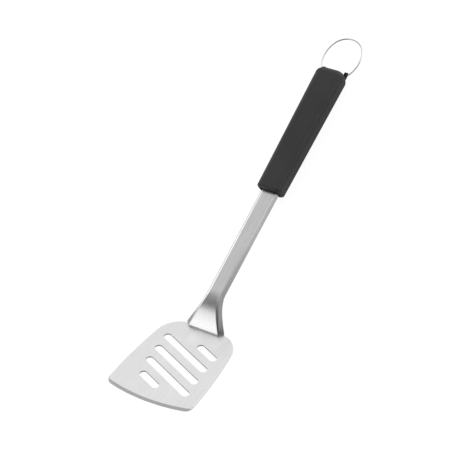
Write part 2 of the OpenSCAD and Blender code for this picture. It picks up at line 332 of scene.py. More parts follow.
class ShaderKit:
    """Adds nodes to one node tree."""

    def __init__(self, tree: bpy.types.NodeTree) -> None:
        """Starts on an emptied node tree."""
        self.tree = tree
        tree.nodes.clear()

    def node(self, kind: str, settings: Optional[dict] = None, **sockets: object) -> bpy.types.Node:
        """Adds a node.

        Args:
            kind: Type name of the node.
            settings: Attributes of the node, set before its sockets. The key stops gives a ramp's
                places and their greys.
            **sockets: Values or wires by socket name, with _ for a space, or by number as s0, s1.

        Returns:
            The node.
        """
        made = self.tree.nodes.new(kind)
        for key, value in (settings or {}).items():
            if key == "stops":
                ramp = made.color_ramp
                while len(ramp.elements) < len(value):
                    ramp.elements.new(0.5)
                for element, (place, shade) in zip(ramp.elements, value):
                    element.position = place
                    element.color = (shade, shade, shade, 1.0)
            else:
                setattr(made, key, value)
        for key, value in sockets.items():
            number = key[1:].isdigit() and key[0] == "s"
            socket = made.inputs[int(key[1:])] if number else made.inputs[key.replace("_", " ")]
            self.feed(socket, value)
        return made

    def feed(self, socket: bpy.types.NodeSocket, value: object) -> None:
        """Links a wire to a socket, or sets its value.

        Args:
            socket: Socket of one of the tree's nodes.
            value: A wire, a number, or a colour or vector.
        """
        value = value.value if isinstance(value, Wire) else value
        if isinstance(value, bpy.types.NodeSocket):
            self.tree.links.new(value, socket)
        elif isinstance(value, tuple) and len(value) == 3 and socket.type == "RGBA":
            socket.default_value = (*value, 1.0)
        else:
            socket.default_value = value

    def wire(self, made: bpy.types.Node, output: object = 0) -> Wire:
        """Wraps one output of a node."""
        return Wire(self, made.outputs[output])

    def math(self, operation: str, first: object, second: object) -> Wire:
        """Adds a Math node and wraps its result."""
        return self.wire(self.node("ShaderNodeMath", {"operation": operation}, s0=first, s1=second))

    def blend(self, share: object, low: object, high: object) -> Wire:
        """Blends two colours.

        Args:
            share: Share of the second colour.
            low: The first colour.
            high: The second colour.

        Returns:
            The blend.
        """
        made = self.node("ShaderNodeMix", {"data_type": "RGBA"}, Factor=share)
        self.feed(made.inputs[6], low)
        self.feed(made.inputs[7], high)
        return self.wire(made, 2)

    def spread(self, value: object, low: float, high: float, to_low: float = 0.0,
               to_high: float = 1.0) -> Wire:
        """Maps a value's range to another, with its ends held."""
        return self.wire(self.node("ShaderNodeMapRange", {"clamp": True}, Value=value, From_Min=low,
                                   From_Max=high, To_Min=to_low, To_Max=to_high))

    def placed(self, rotation: tuple[float, float, float] = (0.0, 0.0, 0.0),
               stretch: tuple[float, float, float] = (1.0, 1.0, 1.0)) -> Wire:
        """Turns and stretches the object coordinates.

        Args:
            rotation: Angles of the turned axes.
            stretch: Factors along these axes.

        Returns:
            The coordinates, in millimetres.
        """
        turned = self.node("ShaderNodeMapping", {"vector_type": "TEXTURE"}, Rotation=rotation,
                           Vector=self.wire(self.node("ShaderNodeTexCoord"), "Object"))
        return self.wire(self.node("ShaderNodeVectorMath", {"operation": "MULTIPLY"}, s0=self.wire(turned),
                                   s1=tuple(s / MM for s in stretch)))

    def noise(self, vector: Wire, scale: float, detail: float = 2.0, roughness: float = 0.5) -> Wire:
        """Noise on a vector, from 0 to 1."""
        return self.wire(self.node("ShaderNodeTexNoise", None, Vector=vector, Scale=scale, Detail=detail,
                                   Roughness=roughness))


@dataclass(frozen=True)
class Finish:
    """A finish that becomes a material."""

    name: str
    colour: tuple[float, float, float]
    roughness: float

    def paint(self, kit: ShaderKit) -> dict[str, object]:
        """Works out what varies over the surface.

        Args:
            kit: The material's node kit.

        Returns:
            Values or wires by name of the main shader's sockets.
        """
        return {"Base_Color": self.colour, "Roughness": self.roughness}

    def material(self) -> bpy.types.Material:
        """Makes the material.

        Returns:
            The material.
        """
        made = bpy.data.materials.new(self.name)
        made.use_nodes = True
        kit = ShaderKit(made.node_tree)
        shader = kit.node("ShaderNodeBsdfPrincipled", None, **self.paint(kit))
        kit.node("ShaderNodeOutputMaterial", None, Surface=kit.wire(shader))
        made.diffuse_color = (*self.colour, 1.0)
        return made


@dataclass(frozen=True)
class Steel(Finish):
    """Stainless steel: a fine grain, faint clouds and small scratches.

    A noise is given by its detail and roughness, and a range by the values that count as none and all.
    """

    grain: Grain = Grain.ALONG
    tilt: float = 0.0
    grain_size: float = 0.35
    grain_depth: float = 0.03
    grain_stretch: float = 0.03
    shine_spread: float = 0.06
    mottle: float = 0.11
    grain_noise: tuple[float, float] = (3.0, 0.6)
    streaks_per_grain: float = 0.22
    streak_height: float = 0.8
    clouds_per_mm: float = 0.035
    cloud_noise: tuple[float, float] = (3.0, 0.55)
    cloud_dulling: float = 0.5
    cloud_share: float = 0.4
    cloud_range: tuple[float, float] = (0.35, 0.65)
    tone_range: tuple[float, float] = (0.34, 0.66)
    scratches: float = 0.25
    scratch_turn: float = 31.0
    scratch_stretch: float = 0.035
    scratches_per_mm: float = 0.5
    scratch_noise: tuple[float, float] = (1.0, 0.4)
    scratch_range: tuple[float, float] = (0.70, 0.76)
    scratch_dulling: float = 0.12
    bump_strength: float = 0.35

    def paint(self, kit: ShaderKit) -> dict[str, object]:
        """Works grain, clouds and scratches into colour, roughness and bump.

        Args:
            kit: The material's node kit.

        Returns:
            Values or wires by name of the main shader's sockets.
        """
        tilt = math.radians(self.tilt)
        drawn_out = self.grain_stretch if self.grain is Grain.ALONG else 1.0
        lay = kit.placed((tilt, 0.0, 0.0), (1.0, drawn_out, 1.0))
        fine = kit.noise(lay, 1 / self.grain_size, *self.grain_noise)
        streak = kit.noise(lay, self.streaks_per_grain / self.grain_size)
        cloud = kit.noise(kit.placed((tilt, 0.0, 0.0)), self.clouds_per_mm, *self.cloud_noise)
        cross = kit.placed((tilt, 0.0, math.radians(self.scratch_turn)), (1.0, self.scratch_stretch, 1.0))
        nick = kit.noise(cross, self.scratches_per_mm, *self.scratch_noise)
        nick = kit.spread(nick, *self.scratch_range)
        dull = kit.spread(cloud, *self.cloud_range, -1.0, 1.0)
        rough = self.roughness + self.shine_spread * (self.cloud_dulling * dull + (streak - 0.5))
        rough = rough + self.scratch_dulling * self.scratches * nick
        tone = kit.spread(cloud * self.cloud_share + streak * (1 - self.cloud_share), *self.tone_range)
        low = tuple(c * (1 - self.mottle) for c in self.colour)
        height = fine + self.streak_height * streak - self.scratches * nick
        bump = kit.node("ShaderNodeBump", None, Strength=self.bump_strength,
                        Distance=self.grain_depth * MM, Height=height)
        return {"Base_Color": kit.blend(tone, low, self.colour), "Metallic": 1.0, "Roughness": rough,
                "Normal": kit.wire(bump)}


@dataclass(frozen=True)
class PaintedToneSteel(Steel):
    """Steel with a painted tone blended in along the part: painted shade where it is darker, painted light
    where it is lighter.

    The tone grows from clear_at to full_at along the part. It is full out to about half_width from
    centre, across the part, and gone at about 1.4 times that.
    """

    painted_tone: tuple[float, float, float] = (0.5, 0.5, 0.5)
    clear_at: float = -15.0
    full_at: float = -100.0
    centre: float = 0.0
    half_width: float = 60.0

    def paint(self, kit: ShaderKit) -> dict[str, object]:
        """Blends the painted tone in along the part.

        Args:
            kit: The material's node kit.

        Returns:
            Values or wires by name of the main shader's sockets.
        """
        painted = super().paint(kit)
        parts = kit.node("ShaderNodeSeparateXYZ", None, Vector=kit.placed())
        across = kit.wire(parts, "X") - self.centre
        middle = kit.spread(across * across, 2 * self.half_width ** 2, self.half_width ** 2)
        share = middle * kit.spread(kit.wire(parts, "Y"), self.clear_at, self.full_at)
        # This blend paints light and shade into the colour: painted shade where the tone is darker, painted
        # light where it is lighter.
        painted["Base_Color"] = kit.blend(share, painted["Base_Color"], self.painted_tone)
        return painted


@dataclass(frozen=True)
class Moulded(Finish):
    """Moulded plastic or soft rubber: pebbles and grit, with faint dust and rubbed places.

    The shares say how much each of these takes part in the paler tone.
    """

    grain_size: float = 0.6
    grain_depth: float = 0.05
    bloom: float = 0.25
    dust: float = 0.004
    gloss: float = 0.5
    noise: tuple[float, float] = (3.0, 0.6)
    pebble_range: tuple[float, float] = (0.75, 0.15)
    pebble_height: float = 0.8
    pebble_share: float = 0.35
    grit_per_grain: float = 2.2
    grit_range: tuple[float, float] = (0.3, 0.7)
    grit_height: float = 0.3
    grit_share: float = 0.25
    grit_dulling: float = 0.07
    rubs_per_mm: float = 0.03
    rub_range: tuple[float, float] = (0.4, 0.7)
    rub_share: float = 0.4
    rub_shine: float = 0.06
    bump_strength: float = 0.5

    def paint(self, kit: ShaderKit) -> dict[str, object]:
        """Works pebbles, grit and rubbed places into colour, roughness and bump.

        Args:
            kit: The material's node kit.

        Returns:
            Values or wires by name of the main shader's sockets.
        """
        even = kit.placed()
        cells = kit.wire(kit.node("ShaderNodeTexVoronoi", {"feature": "SMOOTH_F1"}, Vector=even,
                                  Scale=1 / self.grain_size), "Distance")
        pebble = kit.spread(cells, *self.pebble_range)
        grit = kit.noise(even, self.grit_per_grain / self.grain_size, *self.noise)
        grit = kit.spread(grit, *self.grit_range)
        worn = kit.spread(kit.noise(even, self.rubs_per_mm, *self.noise), *self.rub_range)
        pale = tuple(min(c * (1 + self.bloom) + self.dust, 1.0) for c in self.colour)
        rough = self.roughness + self.grit_dulling * (grit - 0.5) - self.rub_shine * worn
        height = pebble * self.pebble_height + grit * self.grit_height
        bump = kit.node("ShaderNodeBump", None, Strength=self.bump_strength,
                        Distance=self.grain_depth * MM, Height=height)
        tone = worn * self.rub_share + grit * self.grit_share + pebble * self.pebble_share
        return {"Base_Color": kit.blend(tone, self.colour, pale), "Roughness": rough,
                "Specular_IOR_Level": self.gloss, "Normal": kit.wire(bump)}


class Draft:
    """A mesh in the making, in millimetres of one frame of the part."""

    def __init__(self) -> None:
        """Starts an empty mesh."""
        self.bm = bmesh.new()

    def swing_arc(self, start: bmesh.types.BMVert, middle: Vector, degrees: float,
                  steps: int) -> bmesh.types.BMVert:
        """Draws an arc of edges in the XY plane by spinning a vertex.

        Args:
            start: Vertex that the arc starts at.
            middle: Middle of the arc.
            degrees: Angle of the arc, anticlockwise.
            steps: Segments of the arc.

        Returns:
            The vertex at the arc's end.
        """
        spun = bmesh.ops.spin(self.bm, geom=[start], cent=(middle.x, middle.y, start.co.z), axis=(0, 0, 1),
                              dvec=(0, 0, 0), angle=math.radians(degrees), steps=steps, use_duplicate=False)
        return only(spun["geom_last"], bmesh.types.BMVert)[0]

    def straight(self, start: bmesh.types.BMVert, way: Vector) -> bmesh.types.BMVert:
        """Draws one edge from a vertex.

        Args:
            start: Vertex that the edge starts at.
            way: Where it goes from there.

        Returns:
            The vertex at its end.
        """
        made = bmesh.ops.extrude_vert_indiv(self.bm, verts=[start])["verts"][0]
        made.co = start.co + way.to_3d()
        return made

    def stadium(self, length: float, width: float, segments: int = 48) -> list[bmesh.types.BMVert]:
        """Draws a long hole's outline round zero in the XY plane.

        Args:
            length: Length from end to end, along X.
            width: Width across.
            segments: Segments of the two round ends together.

        Returns:
            The outline's vertices.
        """
        turned = Matrix.Rotation(math.pi / segments, 4, "Z")
        verts = bmesh.ops.create_circle(self.bm, segments=segments, radius=width / 2,
                                        matrix=turned)["verts"]
        for side in (-1, 1):
            half = [v for v in verts if v.co.x * side > 0]
            bmesh.ops.translate(self.bm, verts=half, vec=(side * (length - width) / 2, 0, 0))
        return verts

    def fill(self, edges: Sequence[bmesh.types.BMEdge]) -> None:
        """Fills outlines of the XY plane, and leaves the holes inside them open."""
        bmesh.ops.triangle_fill(self.bm, use_beauty=True, use_dissolve=False, edges=edges, normal=(0, 0, 1))

    def plate(self, thickness: float) -> list[bmesh.types.BMFace]:
        """Gives the drawn sheet its thickness upwards. Outlines that have no faces yet are filled first.

        Args:
            thickness: Thickness of the sheet.

        Returns:
            The faces of the sheet's top.
        """
        if not self.bm.faces:
            self.fill(self.bm.edges[:])
        low = self.bm.faces[:]
        raised = bmesh.ops.extrude_face_region(self.bm, geom=low, use_keep_orig=True)["geom"]
        bmesh.ops.translate(self.bm, verts=only(raised, bmesh.types.BMVert), vec=(0, 0, thickness))
        return only(raised, bmesh.types.BMFace)

    def ring(self, points: Iterable[Vector]) -> list[bmesh.types.BMEdge]:
        """Draws a closed ring of edges through points of space."""
        verts = [self.bm.verts.new(p) for p in points]
        return [self.bm.edges.new((verts[i - 1], verts[i])) for i in range(len(verts))]

    def loft(self, rings: Sequence[Sequence[Vector]]) -> None:
        """Bridges rings of the same number of points, one after the other, and closes both ends.

        Args:
            rings: The rings' points, in order.
        """
        loops = [self.ring(points) for points in rings]
        for first, second in zip(loops, loops[1:]):
            bmesh.ops.bridge_loops(self.bm, edges=first + second)
        for loop in (loops[0], loops[-1]):
            bmesh.ops.triangle_fill(self.bm, use_beauty=True, edges=loop)

    def bevel(self, width: float, least: float = 35.0, segments: int = 2) -> None:
        """Rounds sharp edges.

        Args:
            width: Width of the rounding.
            least: Smallest angle between faces, in degrees, that counts as sharp.
            segments: Segments of the rounding.
        """
        bmesh.ops.recalc_face_normals(self.bm, faces=self.bm.faces[:])
        sharp = [e for e in self.bm.edges if len(e.link_faces) == 2
                 and e.calc_face_angle(0.0) > math.radians(least)]
        bmesh.ops.bevel(self.bm, geom=sharp, offset=width, offset_type="OFFSET", segments=segments,
                        profile=0.5, affect="EDGES", clamp_overlap=True, material=-1, loop_slide=True)

    def piece(self, name: str, place: Matrix, finishes: Sequence[Finish], body: Body,
              replaced: Sequence[str], smooth: float) -> bpy.types.Object:
        """Turns the draft into a finished piece.

        Args:
            name: Name of the object.
            place: Placement of the draft's frame in the row frame.
            finishes: Its finishes, in the order of its faces' material numbers.
            body: The body that it rides on.
            replaced: CAD nodes that it stands for.
            smooth: Angle in degrees below which an edge is shaded smooth.

        Returns:
            The object.
        """
        bmesh.ops.remove_doubles(self.bm, verts=self.bm.verts[:], dist=MERGE_MM)
        bmesh.ops.transform(self.bm, matrix=place, verts=self.bm.verts[:])
        bmesh.ops.recalc_face_normals(self.bm, faces=self.bm.faces[:])
        for face in self.bm.faces:
            face.smooth = True
        for edge in self.bm.edges:
            edge.smooth = edge.calc_face_angle(0.0) < math.radians(smooth)
        mesh = bpy.data.meshes.new(name)
        self.bm.to_mesh(mesh)
        self.bm.free()
        for finish in finishes:
            mesh.materials.append(finish.material())
        made = add_object(name, mesh)
        weigh = made.modifiers.new("even_shading", "WEIGHTED_NORMAL")
        weigh.keep_sharp = True
        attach(made, body.value)
        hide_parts(*replaced)
        LOG.info("%s: %d faces", name, len(mesh.polygons))
        return made


@dataclass
class Blade:
    """The slotted sheet with its bowed sides, round shoulders and ground front edge.

    Each row of slot_rows gives a slot's number from the middle one, whether it is long, and its shift
    along the slant. An edge within line_slack of the bevel line counts as on it, and a face is level
    where its normal rises by more than level_from.
    """

    frames: PartFrames
    width: float = 92.6
    front_r: float = 169.7
    bevel_len: float = 3.0
    edge_t: float = 0.5
    corner_r: float = 8.0
    side_r: float = 500.0
    widest_at: float = 20.0
    shoulder_r: float = 26.0
    slot_w: float = 7.8
    slot_long: float = 68.0
    slot_short: float = 27.8
    slot_pitch: float = 15.9
    slot_angle: float = 24.3
    slot_middle: tuple[float, float] = (1.6, 55.1)
    slot_rows: tuple[tuple[int, bool, float], ...] = (
        (-2, False, -12.9), (-1, True, 1.2), (0, True, 0.0), (1, True, -1.2), (2, False, 19.3))
    edge_round: float = 0.22
    front_steps: int = 40
    corner_steps: int = 10
    side_steps: int = 40
    shoulder_steps: int = 24
    line_slack: float = 0.01
    level_from: float = 0.5
    # The blade's tone whitens a small patch in front of the foot: painted light that evens out the neck's
    # dark reflection on the blade there.
    finish: PaintedToneSteel = field(default_factory=lambda: PaintedToneSteel(
        "blade_satin", (0.88, 0.88, 0.88), 0.42, grain=Grain.ALONG, tilt=-25.7, grain_size=0.22,
        grain_depth=0.012, shine_spread=0.05, scratches=0.2, mottle=0.08, painted_tone=(1.0, 1.0, 1.0),
        clear_at=-148.0, full_at=-130.0, centre=9.0, half_width=14.0))
    ground: Steel = field(default_factory=lambda: Steel(
        "bevel_ground", (0.60, 0.60, 0.60), 0.36, grain=Grain.ALONG, tilt=-7.3, grain_size=0.16,
        grain_depth=0.015, shine_spread=0.08, scratches=0.1))
    # The slot walls' dark colour is partly a real rough punched finish and partly painted shade, for the
    # dark lines along the slots' walls.
    punched: Steel = field(default_factory=lambda: Steel(
        "slot_punched_painted_shade", (0.36, 0.36, 0.36), 0.45, grain=Grain.BLASTED, grain_size=0.12, grain_depth=0.02,
        shine_spread=0.08, scratches=0.0))

    def outline(self, draft: Draft) -> tuple[list[bmesh.types.BMEdge], list[bmesh.types.BMEdge]]:
        """Draws the outline and the line where the front bevel starts.

        Args:
            draft: The blade's mesh.

        Returns:
            The edges round the bevel, and the edges round the rest of the sheet.
        """
        front = Vector((0, self.front_r))
        side = Vector((self.width / 2 - self.side_r, self.widest_at))
        corner = meet(front, self.front_r - self.corner_r, side, self.side_r - self.corner_r)
        length = self.frames.blade_len
        rise = length - self.shoulder_r - self.widest_at
        shoulder = Vector((side.x + math.sqrt((self.side_r - self.shoulder_r) ** 2 - rise ** 2),
                           length - self.shoulder_r))
        start = meet(front, self.front_r - self.bevel_len, corner, self.corner_r)
        to_corner = heading(corner - front)
        to_start = heading(start - corner)
        to_side = heading(corner - side)
        to_shoulder = heading(shoulder - side)
        bm = draft.bm
        vert = draft.swing_arc(bm.verts.new((0, 0, 0)), front, to_corner + 90, self.front_steps)
        bevel_end = draft.swing_arc(vert, corner, to_start - to_corner, self.corner_steps)
        vert = draft.swing_arc(bevel_end, corner, to_side - to_start, self.corner_steps)
        vert = draft.swing_arc(vert, side, to_shoulder - to_side, self.side_steps)
        vert = draft.swing_arc(vert, shoulder, 90 - to_shoulder, self.shoulder_steps)
        draft.straight(vert, Vector((-shoulder.x, 0)))
        draft.swing_arc(bevel_end, front, -90 - heading(bevel_end.co.xy - front), self.front_steps)
        bmesh.ops.mirror(bm, geom=bm.verts[:] + bm.edges[:], axis="X", merge_dist=MERGE_MM)
        beyond = {e: self.beyond((e.verts[0].co + e.verts[1].co) / 2) for e in bm.edges}
        bevel = [e for e in bm.edges if beyond[e] > -self.line_slack]
        return bevel, [e for e in bm.edges if beyond[e] < self.line_slack]

    def beyond(self, point: Vector) -> float:
        """How far a point lies in front of the bevel line.

        Args:
            point: Point of the sheet.

        Returns:
            The distance, which is below 0 behind the line.
        """
        if point.y > self.front_r / 2:
            return -self.front_r
        return (point.xy - Vector((0, self.front_r))).length - (self.front_r - self.bevel_len)

    def slots(self, draft: Draft) -> list[bmesh.types.BMEdge]:
        """Draws the slots' outlines.

        Args:
            draft: The blade's mesh.

        Returns:
            The slots' edges.
        """
        edges: list[bmesh.types.BMEdge] = []
        slanted = Matrix.Rotation(-math.radians(self.slot_angle), 4, "Z")
        step = self.slot_pitch / math.cos(math.radians(self.slot_angle))
        for row, is_long, slide in self.slot_rows:
            verts = draft.stadium(self.slot_long if is_long else self.slot_short, self.slot_w)
            place = Matrix.Translation((self.slot_middle[0], self.slot_middle[1] + row * step, 0))
            place = place @ slanted @ Matrix.Translation((slide, 0, 0))
            bmesh.ops.transform(draft.bm, matrix=place, verts=verts)
            edges += {e for v in verts for e in v.link_edges}
        return edges

    def grind(self, top: Sequence[bmesh.types.BMFace]) -> None:
        """Lowers the sheet's top in front of the bevel line, as a cone ground about the front arc.

        Args:
            top: The faces of the sheet's top.
        """
        fall = (self.frames.blade_t - self.edge_t) / self.bevel_len
        for vert in {v for face in top for v in face.verts}:
            vert.co.z -= max(self.beyond(vert.co), 0.0) * fall

    def build(self) -> bpy.types.Object:
        """Builds the blade and its three finishes.

        Returns:
            The object.
        """
        draft = Draft()
        punched = draft.bm.verts.layers.int.new("punched")
        bevel, rest = self.outline(draft)
        slots = self.slots(draft)
        for vert in {v for edge in slots for v in edge.verts}:
            vert[punched] = 1
        draft.fill(rest + slots)
        draft.fill(bevel)
        self.grind(draft.plate(self.frames.blade_t))
        bmesh.ops.translate(draft.bm, verts=draft.bm.verts[:], vec=(0, 0, -self.frames.blade_t))
        for face in draft.bm.faces:
            face.normal_update()
            if self.beyond(face.calc_center_median()) > 0 and face.normal.z > self.level_from:
                face.material_index = 1
            elif abs(face.normal.z) < self.level_from and all(v[punched] for v in face.verts):
                face.material_index = 2
        draft.bevel(self.edge_round, least=50.0)
        return draft.piece("blade_sheet", self.frames.blade_to_row(),
                           [self.finish, self.ground, self.punched], Body.SPATULA,
                           ["blade"], smooth=12.0)


@dataclass
class Shank:
    """The stamped channel from its foot on the blade to the tang in the grip.

    The channel narrows over flare_len, by the power flare_shape. It ends at seat inside the grip, and
    the flat tang goes on from there to tang_len.
    """

    frames: PartFrames
    foot_front_w: float = 33.0
    foot_rear_w: float = 43.0
    foot_corner_r: float = 3.0
    flare_len: float = 40.0
    flare_shape: float = 1.5
    neck_w: float = 17.8
    wall_lean: float = 0.8
    sheet_t: float = 1.6
    edge_r: float = 4.2
    inner_least_r: float = 0.4
    rim_r: float = 0.45
    seat: float = 14.0
    tang_w: float = 12.0
    tang_len: float = 118.0
    neck_rings: int = 48
    straight_rings: int = 8
    lip_shares: tuple[float, ...] = (0.0, 0.5, 0.85, 0.95)
    corner_steps: int = 8
    # The side material reaches higher up the right rounding than up the left one: painted shade on the
    # right.
    right_side_steps: int = 5
    left_side_steps: int = 3
    finish: Steel = field(default_factory=lambda: Steel(
        "shank_satin", (0.84, 0.84, 0.84), 0.24, grain=Grain.ALONG, grain_size=0.25, grain_depth=0.012,
        shine_spread=0.05, scratches=0.2))
    # The side finish is partly real, duller and a little darker walls, and partly painted shade: its tone
    # darkens the walls towards the neck, standing in for the neck's dark reflection.
    side: PaintedToneSteel = field(default_factory=lambda: PaintedToneSteel(
        "shank_side_painted_shade", (0.80, 0.80, 0.80), 0.30, grain=Grain.ALONG, grain_size=0.25, grain_depth=0.012,
        shine_spread=0.05, scratches=0.2, painted_tone=(0.48, 0.48, 0.48)))

    def section(self, u: float) -> list[Vector]:
        """Works out the channel's outline, square to the stem.

        Args:
            u: Distance from the blade along the top line.

        Returns:
            The outline's points, across and up from the top line.
        """
        frames = self.frames
        flare = (1 - min(1.0, max(0.0, u - frames.lip_h) / self.flare_len)) ** self.flare_shape
        widening = (frames.shank_w - self.neck_w) * max(0.0, u - frames.neck_len) / frames.shank_len
        rim = (self.neck_w + widening) / 2 + (self.foot_rear_w - self.neck_w) / 2 * flare
        top = rim - self.wall_lean - ((self.foot_rear_w - self.foot_front_w) / 2 - self.wall_lean) * flare
        depth = frames.shank_h - (frames.shank_h - frames.foot_lap) * flare
        round_r = self.edge_r - (self.edge_r - self.foot_corner_r) * flare
        wall = Vector((rim - top, -depth)).normalized()
        out = Vector((-wall.y, wall.x))
        reach = out.x * top - self.sheet_t
        inner_rim = (reach + depth * out.y) / out.x
        inner_top = (reach + self.sheet_t * out.y) / out.x
        inner_r = max(round_r - self.sheet_t, self.inner_least_r)
        return rounded([(rim, -depth, self.rim_r), (top, 0, round_r), (-top, 0, round_r),
                        (-rim, -depth, self.rim_r), (-inner_rim, -depth, self.rim_r),
                        (-inner_top, -self.sheet_t, inner_r), (inner_top, -self.sheet_t, inner_r),
                        (inner_rim, -depth, self.rim_r)], self.corner_steps)

    def station(self, u: float) -> list[Vector]:
        """Stands the channel's outline up, leaning as the stem turns up from the blade.

        Args:
            u: Distance from the blade along the top line.

        Returns:
            The ring's points, in the blade frame.
        """
        frames = self.frames
        passed = min(1.0, max(0.0, u - frames.lip_h) / (frames.neck_len - frames.lip_h))
        lean = 90 + (frames.stem_angle - 90) * passed
        up = turn(0, 1, lean)
        at = frames.top_line(u)
        return [Vector((p.x, at.x + up.x * p.y, at.y + up.y * p.y)) for p in self.section(u)]

    def part_sides(self, draft: Draft) -> None:
        """Gives the outer walls and the low part of their roundings the second material.

        Args:
            draft: The channel's mesh, with its vertices in the order of its rings. A ring's points start
                at the right rim and go on over the right and the left top rounding to the left rim.
        """
        points = self.corner_steps + 1
        ring = len(self.section(0.0))
        right = set(range(points - 1, points + self.right_side_steps + 1))
        left = set(range(3 * points - 1 - self.left_side_steps, 3 * points + 1))
        draft.bm.verts.index_update()
        for face in draft.bm.faces:
            columns = {v.index % ring for v in face.verts}
            # The second material is partly a duller real finish and partly painted shade, and it reaches
            # higher up the right rounding as painted shade on that side.
            face.material_index = int(columns <= right or columns <= left)

    def build(self) -> bpy.types.Object:
        """Builds the channel, its tang and their two finishes.

        Returns:
            The object.
        """
        frames = self.frames
        draft = Draft()
        lip = [frames.lip_h * share for share in self.lip_shares]
        neck = [frames.lip_h + (frames.neck_len - frames.lip_h) * i / self.neck_rings
                for i in range(self.neck_rings + 1)]
        straight = [frames.neck_len + (frames.shank_len + self.seat) * i / self.straight_rings
                    for i in range(1, self.straight_rings + 1)]
        draft.loft([self.station(u) for u in lip + neck + straight])
        self.part_sides(draft)
        tang_middle = (self.seat + self.tang_len) / 2
        place = frames.blade_to_row().inverted() @ frames.grip_to_row()
        size = Matrix.Diagonal((self.tang_w, self.tang_len - self.seat + self.sheet_t, self.sheet_t, 1))
        bmesh.ops.create_cube(draft.bm, size=1.0, matrix=place @ Matrix.Translation(
            (0, tang_middle - self.sheet_t / 2, -self.sheet_t / 2)) @ size)
        return draft.piece("shank_channel", frames.blade_to_row(), [self.finish, self.side],
                           Body.SPATULA, ["shank"], smooth=34.0)


